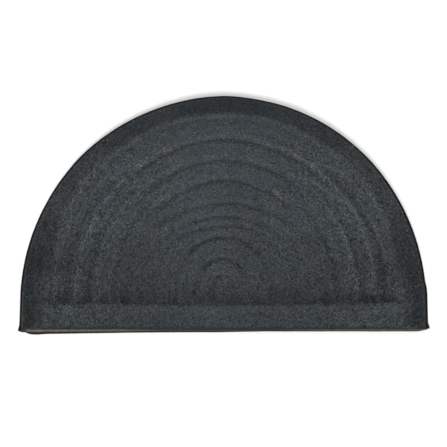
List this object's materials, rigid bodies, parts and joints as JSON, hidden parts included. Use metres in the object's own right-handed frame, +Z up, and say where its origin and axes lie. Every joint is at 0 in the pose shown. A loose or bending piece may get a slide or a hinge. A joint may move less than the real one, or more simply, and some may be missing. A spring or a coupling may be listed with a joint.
{
  "type": "half-round coir doormat",
  "caption": "Half-round doormat: dark coir pile with a raised frame around carved concentric arches, bonded to a thin black vinyl backing; lies flat to scrape shoes clean.",
  "frame": {"origin": "under the middle of the mat's bounding box, on the surface it lies on", "axes": "+X along the straight edge, +Y from the straight edge towards the crown of the arch, +Z up out of the pile"},
  "size_m": [0.75, 0.455, 0.017],
  "materials": {
    "vinyl": "black flexible vinyl sheet, dull, with a fine pressed grain underneath",
    "coir": "coarse coir fibre dyed charcoal on top, with undyed tan fibre at the cut edge"
  },
  "bodies": {
    "root": {"backing": "vinyl", "coir_pile": "coir"}
  },
  "joints": []
}
